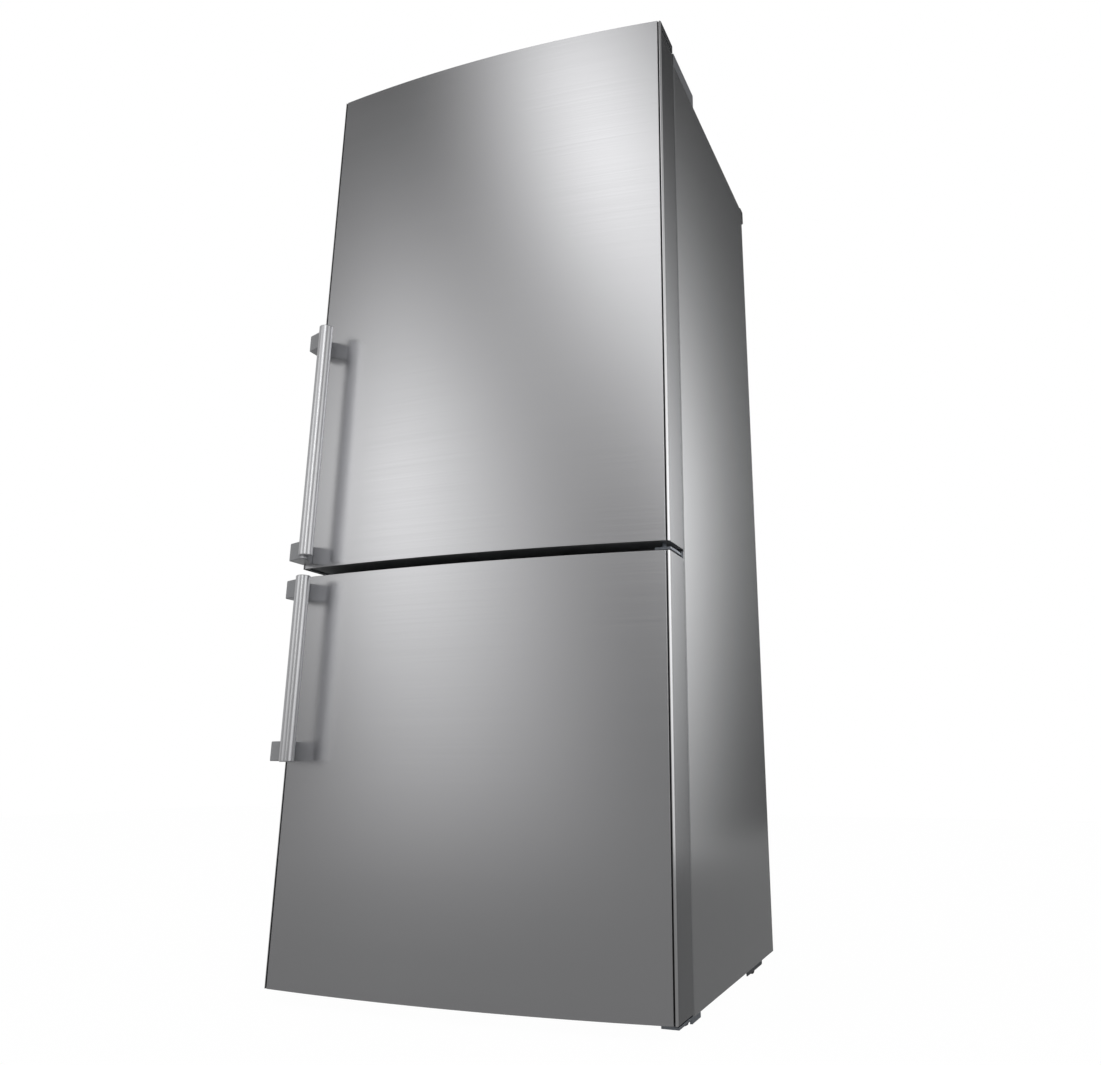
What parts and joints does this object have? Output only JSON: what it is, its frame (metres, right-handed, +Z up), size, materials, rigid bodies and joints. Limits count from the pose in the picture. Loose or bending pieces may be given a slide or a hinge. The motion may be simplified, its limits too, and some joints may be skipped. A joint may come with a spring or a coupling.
{
  "type": "fridge freezer",
  "caption": "Free-standing refrigerator with a bottom freezer, bowed stainless steel doors hung on the right, upright bar handles, glass shelves, crispers and freezer drawers.",
  "frame": {"origin": "on the floor, in the middle of the outline's width and depth", "axes": "+X to the right as seen from the front, +Y to the back, +Z up"},
  "size_m": [0.7, 0.723, 1.7065],
  "materials": {
    "door_steel": "satin",
    "cabinet_paint": "satin",
    "grey_moulding": "satin",
    "handle_aluminium": "satin",
    "mount_metal": "satin",
    "foam": "matte",
    "white_liner": "satin",
    "seal_rubber": "matte",
    "shelf_glass": "gloss",
    "silver_trim": "satin",
    "clear_plastic": "gloss",
    "frosted_plastic": "satin",
    "zinc_steel": "satin",
    "black_moulding": "satin",
    "back_sheet": "matte",
    "compressor_enamel": "satin",
    "coil_metal": "satin",
    "screw_steel": "satin",
    "lamp_lens": "satin"
  },
  "bodies": {
    "cabinet": {"cabinet_shell": "cabinet_paint", "back_panel": "back_sheet", "cabinet_foam": "foam", "fridge_liner": "white_liner", "freezer_liner": "white_liner", "mullion_trim": "cabinet_paint", "base_frame": "zinc_steel", "bottom_hinge": "zinc_steel", "rear_spacers": "black_moulding", "middle_hinge": "screw_steel", "top_hinge": "zinc_steel", "hinge_cover": "grey_moulding", "hinge_screws": "screw_steel", "fridge_shelves": "shelf_glass", "shelf_trims": "silver_trim", "crisper_cover": "white_liner", "air_duct": "white_liner", "control_panel": "white_liner", "lamp_cover": "lamp_lens", "freezer_shelves": "shelf_glass", "evaporator_cover": "white_liner", "evaporator": "coil_metal", "fan_motors": "black_moulding", "ice_frame": "white_liner", "compressor": "compressor_enamel", "condenser": "compressor_enamel", "machine_cover": "back_sheet", "power_inlet": "black_moulding"},
    "fridge_door": {"upper_door_skin": "door_steel", "upper_door_caps": "grey_moulding", "upper_door_foam": "foam", "upper_door_liner": "white_liner", "upper_door_gasket": "seal_rubber", "upper_handle_bar": "handle_aluminium", "upper_handle_mounts": "mount_metal", "door_bin_low": "clear_plastic", "door_bin_mid": "clear_plastic", "dairy_box": "clear_plastic"},
    "freezer_door": {"lower_door_skin": "door_steel", "lower_door_caps": "grey_moulding", "lower_door_foam": "foam", "lower_door_liner": "white_liner", "lower_door_gasket": "seal_rubber", "lower_handle_bar": "handle_aluminium", "lower_handle_mounts": "mount_metal"},
    "dairy_flap": {"dairy_flap": "frosted_plastic"},
    "crisper_left": {"crisper_left": "clear_plastic"},
    "crisper_right": {"crisper_right": "clear_plastic"},
    "freezer_drawer_low": {"freezer_drawer_low": "frosted_plastic"},
    "freezer_drawer_mid": {"freezer_drawer_mid": "frosted_plastic"},
    "freezer_drawer_top": {"freezer_drawer_top": "frosted_plastic"},
    "ice_tray": {"ice_tray": "frosted_plastic"},
    "front_foot_left": {"front_foot_left": "black_moulding"},
    "front_foot_right": {"front_foot_right": "black_moulding"},
    "rear_roller_left": {"rear_roller_left": "black_moulding"},
    "rear_roller_right": {"rear_roller_right": "black_moulding"},
    "evaporator_fan": {"evaporator_fan": "black_moulding"},
    "condenser_fan": {"condenser_fan": "black_moulding"},
    "fridge_button": {"fridge_button": "silver_trim"},
    "freezer_button": {"freezer_button": "silver_trim"}
  },
  "joints": [
    {"name": "fridge_door_hinge", "type": "hinge", "parent": "cabinet", "child": "fridge_door", "pos_m": [0.331, -0.2715, 1.2], "axis": [0, 0, 1], "range_deg": [0, 115]},
    {"name": "freezer_door_hinge", "type": "hinge", "parent": "cabinet", "child": "freezer_door", "pos_m": [0.331, -0.2715, 0.35], "axis": [0, 0, 1], "range_deg": [0, 115]},
    {"name": "dairy_flap_hinge", "type": "hinge", "parent": "fridge_door", "child": "dairy_flap", "pos_m": [0, -0.1279, 1.57225], "axis": [1, 0, 0], "range_deg": [0, 80]},
    {"name": "crisper_left_slide", "type": "slide", "parent": "cabinet", "child": "crisper_left", "axis": [0, -1, 0], "range_m": [0, 0.32]},
    {"name": "crisper_right_slide", "type": "slide", "parent": "cabinet", "child": "crisper_right", "axis": [0, -1, 0], "range_m": [0, 0.32]},
    {"name": "freezer_drawer_low_slide", "type": "slide", "parent": "cabinet", "child": "freezer_drawer_low", "axis": [0, -1, 0], "range_m": [0, 0.24]},
    {"name": "freezer_drawer_mid_slide", "type": "slide", "parent": "cabinet", "child": "freezer_drawer_mid", "axis": [0, -1, 0], "range_m": [0, 0.33]},
    {"name": "freezer_drawer_top_slide", "type": "slide", "parent": "cabinet", "child": "freezer_drawer_top", "axis": [0, -1, 0], "range_m": [0, 0.33]},
    {"name": "ice_tray_twist", "type": "hinge", "parent": "cabinet", "child": "ice_tray", "pos_m": [0, -0.05525, 0.64025], "axis": [0, 1, 0], "range_deg": [0, 150]},
    {"name": "front_foot_left_screw", "type": "slide", "parent": "cabinet", "child": "front_foot_left", "axis": [0, 0, 1], "range_m": [-0.015, 0]},
    {"name": "front_foot_right_screw", "type": "slide", "parent": "cabinet", "child": "front_foot_right", "axis": [0, 0, 1], "range_m": [-0.015, 0]},
    {"name": "rear_roller_left_spin", "type": "hinge", "parent": "cabinet", "child": "rear_roller_left", "pos_m": [-0.335, 0.1955, 0.015], "axis": [1, 0, 0], "continuous": true},
    {"name": "rear_roller_right_spin", "type": "hinge", "parent": "cabinet", "child": "rear_roller_right", "pos_m": [0.335, 0.1955, 0.015], "axis": [1, 0, 0], "continuous": true},
    {"name": "evaporator_fan_spin", "type": "hinge", "parent": "cabinet", "child": "evaporator_fan", "pos_m": [0, 0.2389, 0.60425], "axis": [0, 1, 0], "continuous": true},
    {"name": "condenser_fan_spin", "type": "hinge", "parent": "cabinet", "child": "condenser_fan", "pos_m": [-0.1882, 0.2285, 0.1295], "axis": [1, 0, 0], "continuous": true},
    {"name": "fridge_button_press", "type": "slide", "parent": "cabinet", "child": "fridge_button", "axis": [0, 0, 1], "range_m": [0, 0.0015], "stiffness_N_per_m": 300},
    {"name": "freezer_button_press", "type": "slide", "parent": "cabinet", "child": "freezer_button", "axis": [0, 0, 1], "range_m": [0, 0.0015], "stiffness_N_per_m": 300}
  ],
  "couplings": [
    {"joint": "crisper_left_slide", "follows": "fridge_door_hinge", "m_per_rad": 0.06},
    {"joint": "crisper_right_slide", "follows": "fridge_door_hinge", "m_per_rad": 0.06},
    {"joint": "freezer_drawer_low_slide", "follows": "freezer_door_hinge", "m_per_rad": 0.05},
    {"joint": "freezer_drawer_mid_slide", "follows": "freezer_door_hinge", "m_per_rad": 0.05},
    {"joint": "freezer_drawer_top_slide", "follows": "freezer_door_hinge", "m_per_rad": 0.05}
  ]
}
